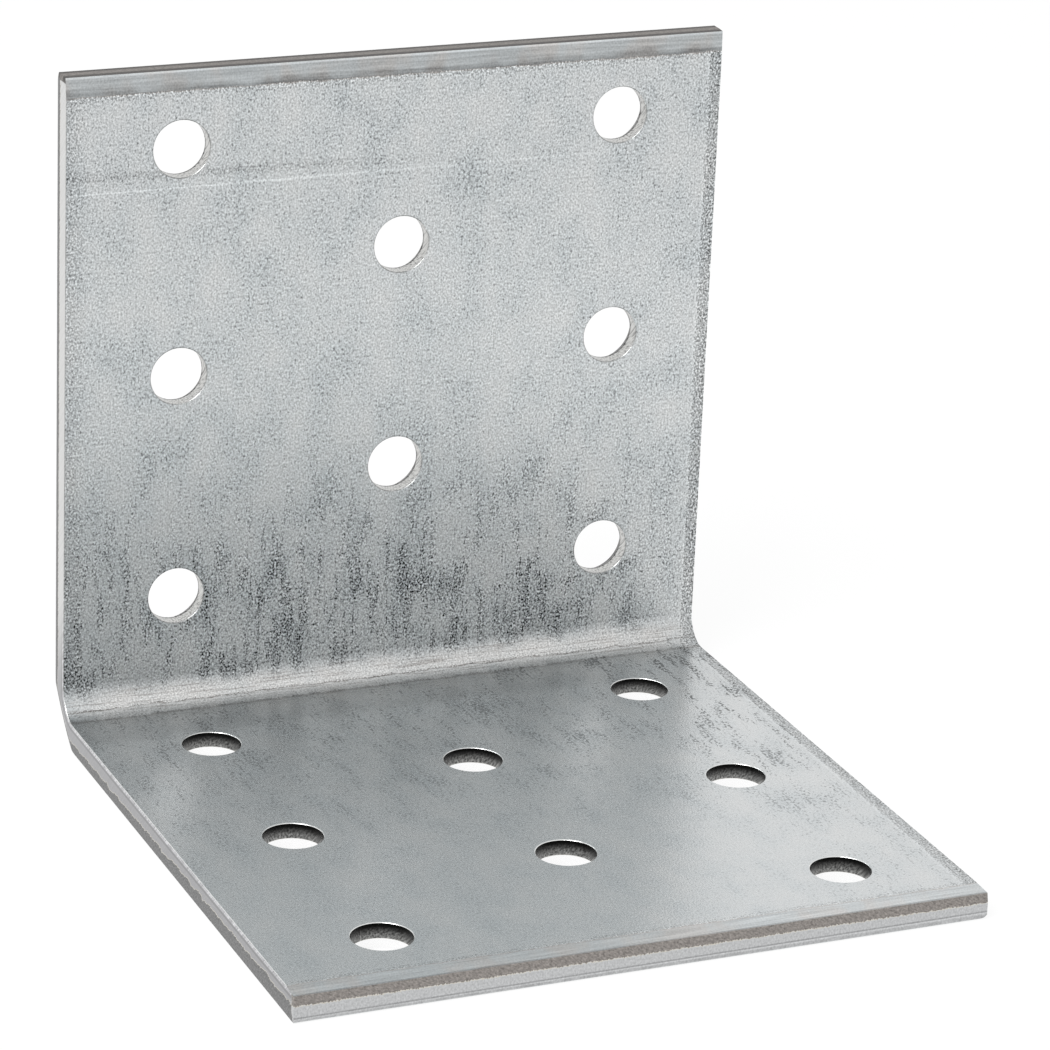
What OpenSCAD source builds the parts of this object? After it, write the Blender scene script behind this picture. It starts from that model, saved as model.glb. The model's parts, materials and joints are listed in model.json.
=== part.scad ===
// Corner brace bracket: one strip of galvanised sheet steel, punched with a staggered
// pattern of screw holes, cut to length and folded once through a right angle.
// The origin is at the middle of the footprint on the underside. X runs along the fold,
// the upright flange stands at the +Y side, and the base flange reaches towards -Y.

/* [Sheet] */
// Thickness of the sheet
sheet_t = 2.5; // [1.5:0.1:4]
// Width of the strip, measured along the fold
strip_w = 59.7; // [50:0.1:120]

/* [Flanges] */
// Height of the upright flange, from the underside to its cut end
upright_h = 59.2; // [35:0.1:120]
// Length of the base flange, from the upright's back face to its cut end
base_l = 59.8; // [35:0.1:120]

/* [Fold] */
// Inside radius of the fold
fold_r = 2.5; // [0.5:0.1:4]
// How much the stretched outside of the fold adds to its outside radius
fold_thinning = 0.6; // [0.1:0.1:1]
// How far each side of the fold is drawn in at its outside
fold_draw_in = 0.35; // [0.05:0.05:0.6]
// How deep below the outside of the fold that draw-in fades out
fold_draw_depth = 1.5; // [0.5:0.1:2]

/* [Hole pattern] */
// Diameter of each screw hole
hole_d = 5; // [3:0.1:7]
// Distance between holes of one column, and between columns
hole_pitch = 20; // [14:0.1:24]
// Distance from the base's underside to the lowest holes of the upright
upright_row_1 = 12.4; // [11:0.1:20]
// Distance from the upright's back face to the rearmost holes of the base
base_row_1 = 12.2; // [11:0.1:20]
// Least distance kept between a hole's centre and the edge of the sheet
edge_margin = 4.5; // [4:0.1:6.5]
// How far the whole pattern sits to the side of the strip's middle
pattern_shift = 0.3; // [-1:0.1:1]

/* [Punched edges of the holes] */
// Radius that the punch draws into the rim on the inner face
rim_roll_r = 0.12; // [0.05:0.01:0.3]
// How much wider than the bore each hole breaks out at the outer face
breakout_w = 0.55; // [0.1:0.05:0.6]
// Depth of that wider part, measured from the outer face
breakout_h = 1.15; // [0.3:0.05:1.3]

/* [Cut edges of the sheet] */
// Width of the rolled-over border on the outer face of the right side edge
right_roll_w = 0.9; // [0.3:0.1:1.5]
// Depth of that border where it meets the cut
right_roll_h = 0.45; // [0.1:0.05:0.6]
// Width of the rolled-over border on the inner face of the left side edge
left_roll_w = 0.1; // [0.05:0.05:0.9]
// Depth of that border where it meets the cut
left_roll_h = 0.1; // [0.05:0.05:0.4]
// Height of the broken part of each side edge, on the face away from its rolled-over border
side_break_h = 1; // [0.5:0.1:1.4]
// How far that part leans inwards where it meets the face
side_break_lean = 0.12; // [0.05:0.01:0.3]
// Width of the rolled-over border on the outer face of the upright's cut end
upright_roll_w = 0.9; // [0.3:0.1:1.5]
// Depth of that border where it meets the cut
upright_roll_h = 0.45; // [0.1:0.05:0.6]
// Width of the rolled-over border on the outer face of the base's cut end
base_roll_w = 0.4; // [0.2:0.1:1.5]
// Depth of that border where it meets the cut
base_roll_h = 0.25; // [0.1:0.05:0.6]
// Width of the pressed-down band on the inner face of each end
end_band_w = 2; // [0.5:0.1:4]
// Depth of that band where it meets the cut
end_band_h = 0.1; // [0.05:0.01:0.3]

/* [Hidden] */

// A fold of even thickness runs round its inside at the sheet's thickness
fold_outer_r = fold_r + sheet_t;
// The real outside is stretched, so it runs a little flatter
fold_face_r = fold_outer_r + fold_thinning;
// The upright's back face, with the footprint centred on the origin
back_y = base_l / 2;
// Columns of holes that fit on each side of the middle one
side_columns = floor((strip_w / 2 - abs(pattern_shift) - edge_margin) / hole_pitch);
// How far cutting shapes reach past the faces that they cut
over = 1;
// Facets of the small arcs, and of the fold and the bores
$fn = 96;

// Rows of one column: every second column starts half a pitch further on
function column_start(column, row_1) = row_1 + (column % 2 == 0 ? hole_pitch / 2 : 0);

// Radius of an arc that leaves a face w before the edge and has dropped by h at the edge
function roll_radius(w, h) = (w * w + h * h) / (2 * h);

// Metal missing from a rolled-over corner at the origin, where the sheet lies at x < 0, y > 0
module rolled_corner_waste(w, h) {
    r = roll_radius(w, h);
    difference() {
        translate([-w, -over]) square([w + over, h + over]);
        translate([-w, r]) circle(r);
    }
}

// Metal missing where an edge broke and leans inwards, where the sheet lies at x < 0, y > 0
module broken_edge_waste() {
    reach = side_break_lean * (side_break_h + over) / side_break_h;
    polygon([[0, side_break_h], [-reach, -over], [over, -over], [over, side_break_h]]);
}

// Section across the strip: x along the fold, y from the outer face to the inner face
module strip_section() {
    difference() {
        translate([-strip_w / 2, 0]) square([strip_w, sheet_t]);
        translate([strip_w / 2, 0]) rolled_corner_waste(right_roll_w, right_roll_h);
        translate([strip_w / 2, sheet_t]) mirror([0, 1]) broken_edge_waste();
        translate([-strip_w / 2, sheet_t]) rotate(180) rolled_corner_waste(left_roll_w, left_roll_h);
        translate([-strip_w / 2, 0]) mirror([1, 0]) broken_edge_waste();
    }
}

// A flange is drawn flat: x along the fold, y away from the outer corner, z through the sheet
// from its outer face, and these two modules put it in its place on the part
module on_upright() {
    translate([0, back_y, 0]) rotate([90, 0, 0]) children();
}

module on_base() {
    translate([0, back_y, 0]) mirror([0, 1, 0]) children();
}

// Flat stretch of a flange, from the end of the fold to the cut end
module flange_flat(length) {
    translate([0, length, 0])
        rotate([90, 0, 0])
            linear_extrude(length - fold_outer_r) strip_section();
}

// Quarter turn of sheet that joins the two flats
module fold() {
    translate([0, back_y - fold_outer_r, fold_outer_r])
        rotate([0, 90, 0])
            rotate_extrude(angle = 90)
                translate([fold_outer_r, 0]) rotate(90) strip_section();
}

// Draws a shape through the whole width of the strip: its x runs along y, and its y upwards
module across_strip() {
    rotate([90, 0, 90]) linear_extrude(strip_w + 2 * over, center = true) children();
}

// Metal missing outside the fold, where the sheet has stretched and thinned
module fold_face_waste() {
    across_strip() translate([back_y, 0]) rolled_corner_waste(fold_face_r, fold_face_r);
}

// Metal missing at the sides of the fold: one slanting cut each, deepest at its outermost line
module fold_side_waste() {
    face = -fold_face_r * (sqrt(2) - 1);
    slope = fold_draw_in / fold_draw_depth;
    translate([0, back_y, 0])
        rotate([-45, 0, 0])
            linear_extrude(2 * fold_face_r, center = true)
                for (side = [-1, 1])
                    polygon([
                        [side * strip_w / 2, face - fold_draw_depth],
                        [side * (strip_w / 2 - fold_draw_in - over * slope), face + over],
                        [side * (strip_w / 2 + over), face + over],
                        [side * (strip_w / 2 + over), face - fold_draw_depth]
                    ]);
}

// Metal missing at a cut end: a rolled-over outer corner and a shallow band on the inner face
module cut_end_waste(length, roll_w, roll_h) {
    across_strip()
        translate([length, 0]) {
            rolled_corner_waste(roll_w, roll_h);
            translate([0, sheet_t])
                polygon([
                    [-end_band_w, 0],
                    [0, -end_band_h],
                    [over, -end_band_h],
                    [over, over],
                    [-end_band_w, over]
                ]);
        }
}

// One punched hole, standing on the outer face and entered by the punch from the inner face
module punched_hole() {
    translate([0, 0, -over])
        cylinder(h = sheet_t + 2 * over, d = hole_d);
    cylinder(h = breakout_h, r1 = hole_d / 2 + breakout_w, r2 = hole_d / 2);
    translate([0, 0, sheet_t - rim_roll_r])
        rotate_extrude()
            translate([hole_d / 2, 0])
                difference() {
                    translate([-over, 0]) square([rim_roll_r + over, rim_roll_r + over]);
                    translate([rim_roll_r, 0]) circle(rim_roll_r);
                }
}

// All holes of one flange, as far as they fit between the first row and the cut end
module hole_pattern(length, row_1) {
    for (column = [-side_columns : side_columns])
        for (row = [column_start(column, row_1) : hole_pitch : length - edge_margin])
            translate([column * hole_pitch + pattern_shift, row, 0]) punched_hole();
}

module bracket() {
    color("silver")
        difference() {
            union() {
                on_upright() flange_flat(upright_h);
                fold();
                on_base() flange_flat(base_l);
            }
            fold_face_waste();
            fold_side_waste();
            on_upright() cut_end_waste(upright_h, upright_roll_w, upright_roll_h);
            on_base() cut_end_waste(base_l, base_roll_w, base_roll_h);
            on_upright() hole_pattern(upright_h, upright_row_1);
            on_base() hole_pattern(base_l, base_row_1);
        }
}

bracket();
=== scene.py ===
# Corner brace bracket of galvanised sheet steel, standing on its base flange on a pale floor.
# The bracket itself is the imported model's own solid. This script gives it its finish: the zinc
# skin, the rolled borders, the sheared edges and the punched holes, and it adds the floor,
# the light and the camera. Lengths in the finish are in millimetres, as on the sheet.
import json
import math
import bpy
from mathutils import Matrix, Vector


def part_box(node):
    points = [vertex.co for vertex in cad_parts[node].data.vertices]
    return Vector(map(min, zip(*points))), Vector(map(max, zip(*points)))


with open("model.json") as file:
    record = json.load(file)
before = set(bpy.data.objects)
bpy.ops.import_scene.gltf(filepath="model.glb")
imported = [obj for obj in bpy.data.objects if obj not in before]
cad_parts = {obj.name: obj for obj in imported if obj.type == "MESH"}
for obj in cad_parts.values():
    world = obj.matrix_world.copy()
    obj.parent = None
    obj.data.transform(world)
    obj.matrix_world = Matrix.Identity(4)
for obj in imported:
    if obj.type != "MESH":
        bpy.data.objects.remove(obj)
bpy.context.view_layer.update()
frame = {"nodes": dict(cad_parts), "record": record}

MM = 0.001

# The sheet's sizes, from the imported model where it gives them
BRACKET_LOW, BRACKET_HIGH = (Vector(corner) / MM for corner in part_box("bracket"))
STRIP_W = BRACKET_HIGH.x - BRACKET_LOW.x
UPRIGHT_H = BRACKET_HIGH.z
BASE_L = BRACKET_HIGH.y - BRACKET_LOW.y
BACK_Y = BRACKET_HIGH.y
MOUNTS = {mount["name"]: mount for mount in frame["record"]["mounts"]}
SHEET_T = MOUNTS["base_inside"]["pos_m"][2] / MM
FOLD_INSIDE_R = 2.5
FOLD_OUTSIDE_R = FOLD_INSIDE_R + SHEET_T

# Where the two marks across the upright lie, along the strip from the middle of the fold
SCORE_ALONG = 46.62
SMEAR_ALONG = 47.5
# Width of the bands pressed down along the cut ends, up to their lips
BAND_W = 1.8
# How deep the blade slid over each cut end, from the outer face, before the steel broke
SLID_UPRIGHT_END = 0.4
SLID_BASE_END = 1.5
# How deep it slid over the left side of the upright, from the inner face
SLID_UPRIGHT_LEFT = 1.5
# How deep the punch slid into a hole, from the inner face
BORE_DEPTH = 1.36
# Height of the zinc's wrinkles
WRINKLE_H = 0.012

# The hole pattern, from the record's mounts: the middle hole row of each flange and the pitch
HOLE_R = MOUNTS["base_corner_holes"]["dims"]["hole_r_mm"]
HOLE_PITCH = MOUNTS["base_corner_holes"]["dims"]["spacing_x_mm"] / 2
HOLES_X = MOUNTS["base_corner_holes"]["pos_m"][0] / MM
BASE_ROW_Y = MOUNTS["base_corner_holes"]["pos_m"][1] / MM
UPRIGHT_ROW_Z = MOUNTS["upright_corner_holes"]["pos_m"][2] / MM

# The photograph's camera, as a pinhole fitted to the bracket's holes and outline
CAMERA_PLACE = (-146.91, -336.65, 164.13)
CAMERA_YAW = 23.698
CAMERA_DOWN = 20.521
CAMERA_ROLL = 2.324
CAMERA_LENS = 164.229


def screen(red, green, blue):
    """A colour as a screen shows it, from 0 to 255, turned into the renderer's linear values."""
    def linear(level):
        level /= 255
        return level / 12.92 if level <= 0.04045 else ((level + 0.055) / 1.055) ** 2.4
    return (linear(red), linear(green), linear(blue), 1.0)


# Zinc, cool and warm
ZINC_COOL = screen(202, 207, 209)
ZINC_WARM = screen(208, 203, 199)
# Cut steel where the blade or the punch slid over it
SLID_STEEL = screen(191, 192, 193)
SLID_LEFT_UPRIGHT = screen(214, 214, 213)
SLID_LEFT_BASE = screen(160, 160, 162)
SLID_HOLE = screen(200, 200, 198)
# Cut steel where it broke, the burr between, and a painted reflection of the white floor, near
# white, on the breakout of the base's holes
TORN_SIDE = screen(112, 112, 112)
TORN_END = screen(137, 132, 128)
BURR = screen(226, 221, 208)
PAINTED_HOLE_EXIT_REFLECTION = screen(252, 252, 252)
# Rubbed line where a rolled border turns over, partly painted light: a painted highlight on the
# base and painted shade on the upright
RIM_BASE_HIGHLIGHT = screen(240, 240, 238)
RIM_UPRIGHT_SHADE = screen(124, 125, 124)


class Field:
    """A number that changes over the surface. Arithmetic on it adds Math nodes to its tree."""

    def __init__(self, tree, socket):
        self.tree = tree
        self.socket = socket

    def _math(self, operation, *values):
        node = self.tree.nodes.new("ShaderNodeMath")
        node.operation = operation
        for slot, value in zip(node.inputs, values):
            if isinstance(value, Field):
                self.tree.links.new(value.socket, slot)
            else:
                slot.default_value = value
        return Field(self.tree, node.outputs[0])

    def __add__(self, other):
        return self._math("ADD", self, other)

    def __radd__(self, other):
        return self._math("ADD", other, self)

    def __sub__(self, other):
        return self._math("SUBTRACT", self, other)

    def __rsub__(self, other):
        return self._math("SUBTRACT", other, self)

    def __mul__(self, other):
        return self._math("MULTIPLY", self, other)

    def __rmul__(self, other):
        return self._math("MULTIPLY", other, self)

    def __truediv__(self, other):
        return self._math("DIVIDE", self, other)

    def size(self):
        return self._math("ABSOLUTE", self)

    def root(self):
        return self._math("SQRT", self)

    def least(self, other):
        return self._math("MINIMUM", self, other)

    def most(self, other):
        return self._math("MAXIMUM", self, other)

    def wrap(self, low, high):
        return self._math("WRAP", self, high, low)

    def above(self, limit):
        return self._math("GREATER_THAN", self, limit)

    def ramp(self, start, end):
        """0 up to start, 1 from end on, and a soft step between, also where end is the lower."""
        node = self.tree.nodes.new("ShaderNodeMapRange")
        node.interpolation_type = "SMOOTHSTEP"
        low, high = min(start, end), max(start, end)
        self.tree.links.new(self.socket, node.inputs["Value"])
        node.inputs["From Min"].default_value = low
        node.inputs["From Max"].default_value = high
        node.inputs["To Min"].default_value = 0.0 if start < end else 1.0
        node.inputs["To Max"].default_value = 1.0 if start < end else 0.0
        return Field(self.tree, node.outputs["Result"])

    def band(self, middle, half_width, soft):
        """1 within half_width of the middle value, fading to 0 over the soft distance."""
        return (self - middle).size().ramp(half_width + soft, half_width)


def new_group(name, inputs, outputs):
    """A shader node group with named sockets, its input fields and a function that sets outputs."""
    tree = bpy.data.node_groups.new(name, "ShaderNodeTree")
    kinds = {"value": "NodeSocketFloat", "vector": "NodeSocketVector", "colour": "NodeSocketColor"}
    for label, kind in inputs:
        tree.interface.new_socket(name=label, in_out="INPUT", socket_type=kinds[kind])
    for label, kind in outputs:
        tree.interface.new_socket(name=label, in_out="OUTPUT", socket_type=kinds[kind])
    entry = tree.nodes.new("NodeGroupInput")
    leave = tree.nodes.new("NodeGroupOutput")

    def put(label, field):
        tree.links.new(field.socket, leave.inputs[label])

    return tree, {label: Field(tree, entry.outputs[label]) for label, _ in inputs}, put


def use_group(tree, group, **values):
    """Places a group in a tree. Keys are socket names with underscores for spaces."""
    node = tree.nodes.new("ShaderNodeGroup")
    node.node_tree = group
    for key, value in values.items():
        slot = node.inputs[key.replace("_", " ")]
        if isinstance(value, Field):
            tree.links.new(value.socket, slot)
        else:
            slot.default_value = value
    return {slot.name: Field(tree, slot) for slot in node.outputs}


def combine(tree, x, y, z):
    """A vector from three fields or numbers."""
    node = tree.nodes.new("ShaderNodeCombineXYZ")
    for slot, value in zip(node.inputs, (x, y, z)):
        if isinstance(value, Field):
            tree.links.new(value.socket, slot)
        else:
            slot.default_value = value
    return Field(tree, node.outputs[0])


def split(tree, vector):
    """The three parts of a vector."""
    node = tree.nodes.new("ShaderNodeSeparateXYZ")
    tree.links.new(vector.socket, node.inputs[0])
    return [Field(tree, slot) for slot in node.outputs]


def noise(tree, place, feature, stretch=(1, 1), detail=2.0, roughness=0.7):
    """Noise around 0 with features of the given size in millimetres.

    Over the flat strip it runs straight through the sheet, so it draws streaks on a cut face.
    """
    mapping = tree.nodes.new("ShaderNodeMapping")
    mapping.inputs["Scale"].default_value = [1 / (feature * length) for length in (*stretch, 1)]
    tree.links.new(place.socket, mapping.inputs["Vector"])
    texture = tree.nodes.new("ShaderNodeTexNoise")
    texture.noise_dimensions = "2D"
    texture.inputs["Scale"].default_value = 1.0
    texture.inputs["Detail"].default_value = detail
    texture.inputs["Roughness"].default_value = roughness
    tree.links.new(mapping.outputs["Vector"], texture.inputs["Vector"])
    return Field(tree, texture.outputs["Fac"]) - 0.5


def blend(tree, kind, factor, first, second):
    """A Mix node for numbers or colours, as a field."""
    node = tree.nodes.new("ShaderNodeMix")
    node.data_type = "RGBA" if kind == "Color" else "FLOAT"
    slots = {slot.identifier: slot for slot in node.inputs}
    values = {"Factor_Float": factor, "A_" + kind: first, "B_" + kind: second}
    for name, value in values.items():
        if isinstance(value, Field):
            tree.links.new(value.socket, slots[name])
        else:
            slots[name].default_value = value
    result = next(slot for slot in node.outputs if slot.identifier == "Result_" + kind)
    return Field(tree, result)


def mix(tree, factor, first, second):
    """A colour between two colours."""
    return blend(tree, "Color", factor, first, second)


def between(factor, first, second):
    """A number between two numbers, by a factor field."""
    return blend(factor.tree, "Float", factor, first, second)


def shade(colour, level):
    """A colour field made lighter or darker by a field around 1."""
    node = colour.tree.nodes.new("ShaderNodeVectorMath")
    node.operation = "SCALE"
    colour.tree.links.new(colour.socket, node.inputs[0])
    colour.tree.links.new(level.socket, node.inputs["Scale"])
    return Field(colour.tree, node.outputs[0])


def place_on_sheet():
    """Group: where a point lies on the folded strip."""
    tree, _, put = new_group("place_on_sheet", [], [
        ("Plan", "vector"), ("Cut place", "vector"), ("Depth", "value"), ("Facing", "value"),
        ("From end", "value"), ("From left", "value"), ("From right", "value"),
        ("From hole", "value"), ("Along", "value"), ("Across", "value"),
    ])
    coordinates = tree.nodes.new("ShaderNodeTexCoord")
    spot = Field(tree, coordinates.outputs["Object"])
    x, y, z = (part / MM for part in split(tree, spot))
    geometry = tree.nodes.new("ShaderNodeNewGeometry")
    _, normal_y, normal_z = split(tree, Field(tree, geometry.outputs["Normal"]))

    # Depth through the sheet from its outer face, and the direction from that face inwards
    from_back = BACK_Y - y
    inward_y = (FOLD_OUTSIDE_R - from_back).most(0)
    inward_z = (FOLD_OUTSIDE_R - z).most(0)
    radius = (inward_y * inward_y + inward_z * inward_z).root()
    depth = FOLD_OUTSIDE_R - radius
    facing = (normal_z * inward_z - normal_y * inward_y) / radius.most(0.01)

    # The strip laid flat: across it, and along it with 0 at the fold
    along = z - from_back
    put("Plan", combine(tree, x, along, 0))
    # Over a cut face: the way along its edge and the depth
    put("Cut place", combine(tree, x + along, depth, 0))
    put("Along", along)
    put("Across", x)
    put("Depth", depth)
    put("Facing", facing)
    put("From end", (UPRIGHT_H - z).least(BASE_L - from_back))
    put("From left", x + STRIP_W / 2)
    put("From right", STRIP_W / 2 - x)

    # Distance outside the nearest hole's wall. The outer columns have a hole every pitch, and the
    # middle column has only the two holes that lie half a pitch from the middle row
    across = (x - HOLES_X).size()
    on_upright = along.above(0)
    row = between(on_upright, y - BASE_ROW_Y, z - UPRIGHT_ROW_Z)
    outer_row = row.wrap(-HOLE_PITCH / 2, HOLE_PITCH / 2)
    middle_row = (row + HOLE_PITCH / 2).wrap(-HOLE_PITCH / 2, HOLE_PITCH / 2)
    outer_x = across - HOLE_PITCH
    to_outer = (outer_x * outer_x + outer_row * outer_row).root()
    no_hole = row.size().above(HOLE_PITCH * 1.25) * HOLE_PITCH
    to_middle = (across * across + middle_row * middle_row).root() + no_hole
    put("From hole", to_outer.least(to_middle) - HOLE_R)
    return tree


def zinc_skin():
    """Group: the mill's zinc coating, with its wrinkled grain and its crowds of dark specks."""
    tree, given, put = new_group("zinc_skin", [
        ("Plan", "vector"), ("Patch", "value"), ("Grain", "value"), ("Specks", "value"),
        ("Cloud", "value"), ("Stain", "value"), ("Sheen", "value"),
    ], [("Level", "value"), ("Roughness", "value"), ("Wrinkles", "value")])
    plan, patch, stain = given["Plan"], given["Patch"], given["Stain"]
    wrinkles = noise(tree, plan, 0.16, (1, 1.25), detail=1.0, roughness=0.65)
    blots = noise(tree, plan, 0.24, (1, 1.3), detail=1.0)
    crowding = stain * 0.15 - patch * 0.42
    specks = (blots - crowding).ramp(-0.11, -0.25) * given["Specks"]
    grain = wrinkles * given["Grain"] * (1 + stain * 0.9)
    put("Level", 1 + grain + patch * given["Cloud"] - specks * (0.36 + stain * 0.06))
    put("Roughness", given["Sheen"] + wrinkles * 0.15 + specks * 0.1)
    put("Wrinkles", wrinkles)
    return tree


def sheared_face():
    """Group: a cut face, smooth where the blade slid and torn where the steel broke."""
    tree, given, put = new_group("sheared_face", [
        ("Cut place", "vector"), ("Streaks", "value"), ("Past break", "value"),
        ("Slid colour", "colour"), ("Torn colour", "colour"),
    ], [("Colour", "colour"), ("Torn", "value")])
    past, streaks = given["Past break"], given["Streaks"]
    torn = past.ramp(-0.03, 0.03)
    burr = past.band(0.0, 0.02, 0.04)
    crumbs = noise(tree, given["Cut place"], 0.25, detail=1.0)
    slid = shade(given["Slid colour"], 1 + streaks * 0.6)
    broken = shade(given["Torn colour"], 1 + crumbs * 1.1 + streaks * 0.7)
    colour = mix(tree, torn, slid, broken)
    put("Colour", mix(tree, burr * 0.6, colour, BURR))
    put("Torn", torn)
    return tree


class Sheet:
    """Where a point lies on the folded strip, and the noises that several marks share."""

    def __init__(self, tree, place_group):
        place = use_group(tree, place_group)
        self.tree = tree
        self.plan = place["Plan"]
        self.cut_place = place["Cut place"]
        self.along = place["Along"]
        self.across = place["Across"]
        self.from_outer = place["Depth"]
        self.from_inner = SHEET_T - self.from_outer
        self.from_end = place["From end"]
        self.from_left = place["From left"]
        self.from_right = place["From right"]
        self.from_side = self.from_left.least(self.from_right)
        self.from_hole = place["From hole"]
        self.facing = place["Facing"]
        # 1 on the inner face, and 1 on the upright where it is 0 on the base
        self.inner = self.facing.ramp(0.5, 0.8)
        self.upright = self.along.ramp(0.0, 3.0)
        # Slow patches, the wandering of edges, and fine lines drawn across the strip
        self.patch = noise(tree, self.plan, 4.0, (1, 1.7), roughness=0.65)
        self.ragged = noise(tree, self.plan, 1.6)
        self.drawn = noise(tree, self.plan, 0.24, (26, 1), detail=1.0, roughness=0.6)
        # The zinc's wrinkles, which come with its skin
        self.wrinkles = None


def mill_skin(sheet, zinc_group):
    """The zinc as it left the mill, with its stain and painted shade. Sets the sheet's wrinkles.

    Returns its level, which is a share of the zinc's own colour, and its roughness.
    """
    along, from_right, upright = sheet.along, sheet.from_right, sheet.upright

    # Dark upright streaks over a crust above the fold, weaker towards the right edge
    runs = noise(sheet.tree, sheet.plan, 0.85, (1, 6)) - sheet.patch * 0.35
    # Low on the upright: stronger stain streaks, and painted shade further down
    low = along.ramp(27, 6) * between(from_right.ramp(2, 15), 0.3, 1.0)
    crust = along.ramp(20, 7) * (0.6 + sheet.ragged * 1.5 - sheet.patch)
    crust = crust * (0.4 + sheet.from_left.ramp(3, 15) * 0.6)
    streaks = (runs.ramp(-0.04, 0.13) * 1.1 + crust) * (0.1 + low * 0.9)

    # Wear on the base, strongest near the fold and the right edge, and painted shade by the fold
    worn = along.ramp(-50, -8) + from_right.ramp(16, 4) * 0.5
    worn = worn * (0.25 + runs.ramp(-0.04, 0.12))
    fold_shade = along.ramp(-20, -5)

    # Coarser on the upright, smoother and shinier on the base
    skin = use_group(
        sheet.tree, zinc_group, Plan=sheet.plan, Patch=sheet.patch,
        Grain=between(upright, 0.36, 1.35), Specks=between(upright, 0.5 + worn * 0.7, 1.0),
        Cloud=between(upright, 0.16, 0.15), Sheen=between(upright, 0.27, 0.38),
        Stain=between(upright, worn * 0.5, streaks) * sheet.inner,
    )
    sheet.wrinkles = skin["Wrinkles"]
    # Painted shade low on the upright and on the base by the fold; on the upright, painted light
    # through the middle height and painted shade towards the top
    tone = 1 - between(upright, fold_shade * 0.10, low * 0.13) * sheet.inner
    tone = tone + upright * (along.ramp(10, 30) * 0.075 - along.ramp(32, 50) * 0.045)
    return skin["Level"] * tone, skin["Roughness"]


def score_lines(sheet, level):
    """A light score line across the upright, and a darker smear that runs into it."""
    across, along = sheet.across, sheet.along
    fade = (across.ramp(28, 16) * 0.5 + across.ramp(6, -12) * 0.5) * sheet.inner
    score = (across * -0.002 + along).band(SCORE_ALONG, 0.04, 0.08) * fade
    smear = (across * 0.0176 + along).band(SMEAR_ALONG, 0.1, 0.45)
    smear = smear * across.ramp(10, -14) * sheet.inner
    return level + score * 0.24 - smear * (0.16 - sheet.wrinkles * 0.5)


def side_borders(sheet, level):
    """Rubbed dark borders along both side edges of the inner face."""
    ragged, wrinkles = sheet.ragged, sheet.wrinkles
    wander = sheet.from_right + ragged * 0.5 + wrinkles * 0.5
    right = wander.ramp(1.25, 1.1) * (1.35 - sheet.from_right * 0.45 + ragged * 1.2)
    left = (sheet.from_left + ragged * 2.0).ramp(2.2, 0.2) * sheet.upright
    border = (right + left * 0.6) * sheet.inner
    level = level * (1 - border * (0.26 - wrinkles * 1.6))
    # A light line just inside the right border
    return level + wander.band(1.36, 0.03, 0.08) * sheet.inner * 0.12


def end_bands(sheet, level):
    """The bands pressed down along both cut ends.

    They are satin and darken towards a ragged brown lip, with a row of crushed grain beyond.
    The edge at the cut has a painted highlight on the upright and is dark on the base. Returns
    the level, where the bands are, and where their lips are.
    """
    ragged, wrinkles, upright = sheet.ragged, sheet.wrinkles, sheet.upright
    wander = sheet.from_end + ragged * 0.25 + wrinkles * 0.3
    band = wander.ramp(BAND_W, BAND_W - 0.12) * sheet.inner
    near_lip = (sheet.from_end + sheet.patch * 1.5).ramp(BAND_W - 0.8, BAND_W - 0.1)
    satin = between(upright, 0.91, 0.76) + sheet.drawn * 0.45 + wrinkles * 0.4
    satin = satin - near_lip * between(upright, 0.05, 0.30)
    # Along the cut: a painted highlight on the upright, and a dark line on the base
    cut_line = sheet.from_end.ramp(0.25, 0.12) * between(upright, -0.34, 0.33)
    level = between(band, level, satin + cut_line)
    crushed = wander.band(BAND_W + 0.2, 0.14, 0.12) * sheet.inner
    level = level * (1 - crushed * (0.1 - wrinkles - ragged * 0.3))
    lip = wander.band(BAND_W - 0.04, 0.02, 0.07) * sheet.inner
    level = level * (1 - lip * between(upright, 0.16, 0.25))
    return level, band, lip


def fold_stripe(sheet, level):
    """The warm speckled stripe of stretched zinc in the fold, with its cracks and its dark foot.

    Returns the level, where the stripe is, and where it creased and cracked.
    """
    along, ragged = sheet.along, sheet.ragged
    bend = along + ragged * 0.7 + sheet.wrinkles * 0.5
    stripe = bend.ramp(-0.5, -0.35) * bend.ramp(2.3, 0.7) + bend.band(-1.2, 0.45, 0.4) * 0.75
    stripe = stripe * sheet.inner * (sheet.from_side + ragged * 3).ramp(0.4, 3.6)
    stretched = 0.83 + sheet.drawn * 0.4 + sheet.wrinkles * 1.5
    level = between(stripe * 0.75, level, stretched)
    cracks = sheet.drawn.ramp(-0.10, -0.17) * along.band(0.2, 1.2, 0.6)
    crease = bend.band(-0.5, 0.02, 0.09) + bend.band(-2.1, 0.05, 0.3) * 0.5
    crease = (cracks * 0.25 + crease * 0.6) * sheet.inner
    foot = (along + ragged * 2.5).band(-4.4, 1.4, 2.4) * sheet.inner * sheet.from_right.ramp(6, 16)
    return level * (1 - crease - foot * 0.22), stripe, crease


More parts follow.
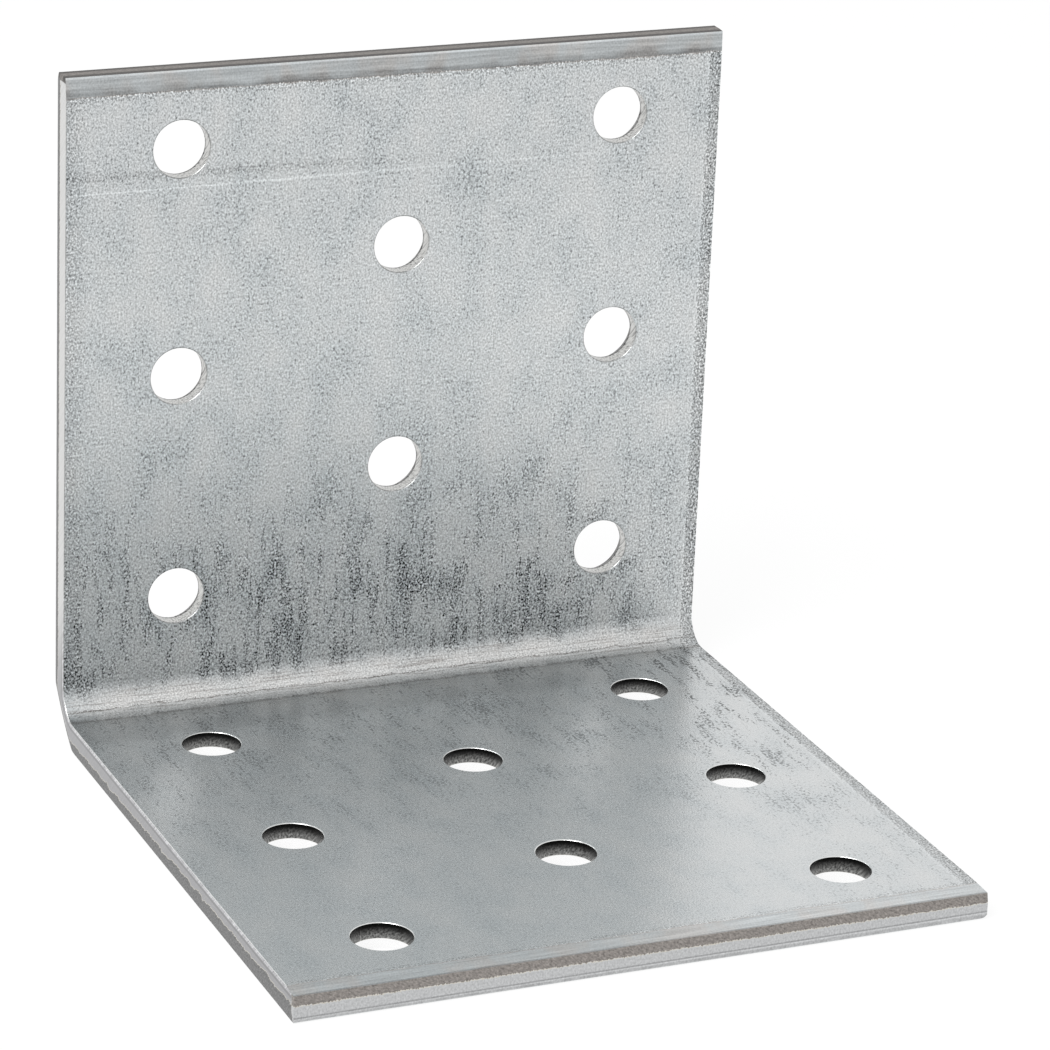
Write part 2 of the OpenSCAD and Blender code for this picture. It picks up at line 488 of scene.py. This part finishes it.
def cut_faces(sheet, shear_group):
    """The sheared edges and the walls of the holes.

    The ends break towards the inner face, the left side and the holes towards the outer face.
    Returns the colour, the roughness, and where the bare steel is torn outside the holes.
    """
    tree, upright, along = sheet.tree, sheet.upright, sheet.along
    ragged, wrinkles = sheet.ragged, sheet.wrinkles
    from_outer, from_inner = sheet.from_outer, sheet.from_inner
    in_hole = sheet.from_hole.ramp(0.9, 0.7) * sheet.from_side.ramp(1.0, 1.3)
    base_hole, upright_hole = in_hole * (1 - upright), in_hole * upright
    at_end = sheet.from_end.ramp(0.6, 0.3) * (1 - in_hole)
    at_left = sheet.from_left.ramp(1.4, 1.0) * (1 - at_end)
    base_left = at_left * along.ramp(12, 2)

    # Where the steel breaks. The break on the base's left side moves inwards towards the end,
    # and the one in the upright's holes lies past the bore, out of sight
    left_break = between(along.ramp(0, 12), along.ramp(-56, 0) * 0.5 + 1.0, SLID_UPRIGHT_LEFT)
    end_break = between(upright, SLID_BASE_END, SLID_UPRIGHT_END)
    edge_break = between(at_left, end_break, left_break)
    edge_break = edge_break + ragged * (0.16 + base_left * 0.6) + wrinkles * 0.3
    hole_break = between(upright, BORE_DEPTH, BORE_DEPTH + 0.34)
    break_depth = between(in_hole, edge_break, hole_break)

    slid_colour = mix(tree, at_left, SLID_STEEL, SLID_LEFT_UPRIGHT)
    slid_colour = mix(tree, base_left, slid_colour, SLID_LEFT_BASE)
    slid_colour = mix(tree, in_hole, slid_colour, SLID_HOLE)
    sheared = use_group(
        tree, shear_group, Cut_place=sheet.cut_place, Streaks=wrinkles * (1 - at_left * 0.7),
        Past_break=between(at_end, from_inner, from_outer) - break_depth,
        Slid_colour=slid_colour, Torn_colour=mix(tree, at_end, TORN_SIDE, TORN_END),
    )
    torn = sheared["Torn"]

    # The base's cut end: two grooves where the blade slid, and a duller lower border
    groove = from_outer - sheet.across * 0.004
    grooves = groove.band(0.62, 0.04, 0.05) * 0.32 - groove.band(0.49, 0.03, 0.05) * 0.14
    grooves = grooves + from_outer.ramp(0.55, 0.35) * (0.16 + ragged * 0.5)
    # The upright's cut end: darkest along both its edges
    rims = from_outer.ramp(1.1, 0.75) + from_inner.ramp(0.9, 0.6)
    marks = at_end * between(upright, grooves, 0.26 + rims * 0.5)
    # The upright's holes: a dark exit and a few specks
    exit_mark = from_inner.ramp(1.08, 1.25) * 0.7 + wrinkles.ramp(-0.02, -0.16) * 0.45
    marks = marks + upright_hole * exit_mark
    # The base's left side: a painted highlight along the inner edge with a dark line below it
    left_edge_highlight = from_inner.ramp(0.3, 0.2) * (0.55 + wrinkles * 2.0)
    marks = marks - base_left * (left_edge_highlight - from_inner.band(0.42, 0.05, 0.1) * 0.3)
    # The base's holes: painted shade on the bore, for the shadowed floor under the bracket that it
    # mirrors, thinner lower down
    bore_painted_shade = base_hole * (1 - torn) * (0.99 - from_inner.ramp(0.2, 1.5) * (0.4 + wrinkles))
    colour = shade(sheared["Colour"], 1 - marks - bore_painted_shade)
    # The breakout of the base's holes is painted near white: a painted reflection of the floor
    # below
    colour = mix(tree, base_hole * torn, colour, PAINTED_HOLE_EXIT_REFLECTION)
    roughness = between(torn, 0.32, between(base_hole, 0.5, 0.15))
    return colour, roughness, torn * (1 - in_hole)


def galvanised_steel(place_group, zinc_group, shear_group):
    """The bracket's one material, from the mill skin to the cut edges."""
    material = bpy.data.materials.new("galvanised_steel")
    material.use_nodes = True
    tree = material.node_tree
    shader = tree.nodes["Principled BSDF"]
    sheet = Sheet(tree, place_group)
    level, sheen = mill_skin(sheet, zinc_group)
    level = score_lines(sheet, level)
    level = side_borders(sheet, level)
    level, band, lip = end_bands(sheet, level)
    level, stripe, crease = fold_stripe(sheet, level)

    # Zinc is a cool grey, warmer in slow drifts and where it was pressed, stretched or cracked
    warmth = 0.16 + sheet.patch * 0.6 + band * (sheet.patch.ramp(-0.05, 0.15) * 0.4 - 0.05)
    warmth = warmth + lip * 0.6 + stripe * 0.3 + crease
    colour = shade(mix(tree, warmth, ZINC_COOL, ZINC_WARM), level)
    roughness = between((stripe * 0.8).most(band * 0.4), sheen, 0.45)

    cut = sheet.facing.size().ramp(0.68, 0.5)
    cut_colour, cut_roughness, bare = cut_faces(sheet, shear_group)
    colour = mix(tree, cut, colour, cut_colour)
    roughness = between(cut, roughness, cut_roughness)
    metal = 1 - bare * cut * 0.3

    # Rubbed line where the small rolled borders turn over, partly painted light: a painted
    # highlight on the base and painted shade on the upright
    rim_highlight_and_shade = sheet.facing.band(0.76, 0.16, 0.10) * (0.6 + sheet.ragged)
    colour = mix(tree, rim_highlight_and_shade, colour, mix(tree, sheet.upright, RIM_BASE_HIGHLIGHT, RIM_UPRIGHT_SHADE))

    bump = tree.nodes.new("ShaderNodeBump")
    bump.inputs["Strength"].default_value = 1.0
    bump.inputs["Distance"].default_value = WRINKLE_H * MM
    tree.links.new(sheet.wrinkles.socket, bump.inputs["Height"])
    tree.links.new(bump.outputs["Normal"], shader.inputs["Normal"])
    tree.links.new(colour.socket, shader.inputs["Base Color"])
    tree.links.new(roughness.socket, shader.inputs["Roughness"])
    tree.links.new(metal.socket, shader.inputs["Metallic"])
    return material


def seen_directly(tree):
    """1 for rays from the camera and for those mirrored or passed on to it."""
    path = tree.nodes.new("ShaderNodeLightPath")
    camera, glossy, passed = (
        Field(tree, path.outputs[name])
        for name in ("Is Camera Ray", "Is Glossy Ray", "Is Transmission Ray")
    )
    return camera.most(glossy).most(passed)


def floor_material():
    """Pale floor that shows nearly white and keeps a faint shadow."""
    white_share = 0.92
    material = bpy.data.materials.new("pale_floor")
    material.use_nodes = True
    tree = material.node_tree
    tree.nodes.remove(tree.nodes["Principled BSDF"])
    diffuse = tree.nodes.new("ShaderNodeBsdfDiffuse")
    diffuse.inputs["Color"].default_value = (0.9, 0.9, 0.9, 1.0)
    white = tree.nodes.new("ShaderNodeEmission")
    white.inputs["Color"].default_value = (1.0, 1.0, 1.0, 1.0)
    white.inputs["Strength"].default_value = 1.0
    mixed = tree.nodes.new("ShaderNodeMixShader")
    share = seen_directly(tree) * white_share
    tree.links.new(share.socket, mixed.inputs["Fac"])
    tree.links.new(diffuse.outputs[0], mixed.inputs[1])
    tree.links.new(white.outputs[0], mixed.inputs[2])
    tree.links.new(mixed.outputs[0], tree.nodes["Material Output"].inputs["Surface"])
    return material


def make_floor():
    """A wide plain floor at the bracket's underside."""
    half = 3.0
    mesh = bpy.data.meshes.new("floor")
    mesh.from_pydata(
        [(-half, -half, 0), (half, -half, 0), (half, half, 0), (-half, half, 0)], [], [(0, 1, 2, 3)]
    )
    floor = bpy.data.objects.new("floor", mesh)
    bpy.context.scene.collection.objects.link(floor)
    floor.data.materials.append(floor_material())


def make_world():
    """A white surround: plain white where it is seen, and a little less as light."""
    world = bpy.data.worlds.new("white_surround")
    bpy.context.scene.world = world
    world.use_nodes = True
    tree = world.node_tree
    background = tree.nodes["Background"]
    background.inputs["Color"].default_value = (1.0, 1.0, 1.0, 1.0)
    strength = between(seen_directly(tree), 0.75, 1.0)
    tree.links.new(strength.socket, background.inputs["Strength"])


def make_lamp(name, place, aim, size, power):
    """A square soft lamp, in millimetres and watts."""
    data = bpy.data.lights.new(name, "AREA")
    data.shape = "SQUARE"
    data.size = size * MM
    data.energy = power
    lamp = bpy.data.objects.new(name, data)
    lamp.location = Vector(place) * MM
    lamp.rotation_euler = (Vector(aim) - Vector(place)).to_track_quat("-Z", "Y").to_euler()
    bpy.context.scene.collection.objects.link(lamp)


def make_camera():
    """The camera at the photograph's place, turned by yaw, downward tilt and roll."""
    data = bpy.data.cameras.new("camera")
    data.sensor_width = 36
    data.lens = CAMERA_LENS
    data.clip_start = 0.01
    data.clip_end = 20
    camera = bpy.data.objects.new("camera", data)
    turn = (
        Matrix.Rotation(math.radians(-CAMERA_YAW), 4, "Z")
        @ Matrix.Rotation(math.radians(90 - CAMERA_DOWN), 4, "X")
        @ Matrix.Rotation(math.radians(CAMERA_ROLL), 4, "Z")
    )
    camera.matrix_world = Matrix.Translation(Vector(CAMERA_PLACE) * MM) @ turn
    bpy.context.scene.collection.objects.link(camera)
    bpy.context.scene.camera = camera


def dress_bracket():
    """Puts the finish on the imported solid."""
    bracket = frame["nodes"]["bracket"]
    steel = galvanised_steel(place_on_sheet(), zinc_skin(), sheared_face())
    for slot in bracket.material_slots:
        slot.material = steel


make_camera()
make_floor()
make_world()
make_lamp("key_lamp", place=(-500, -300, 700), aim=(0, 0, 20), size=500, power=8)
dress_bracket()

scene = bpy.context.scene
scene.view_settings.view_transform = "Standard"
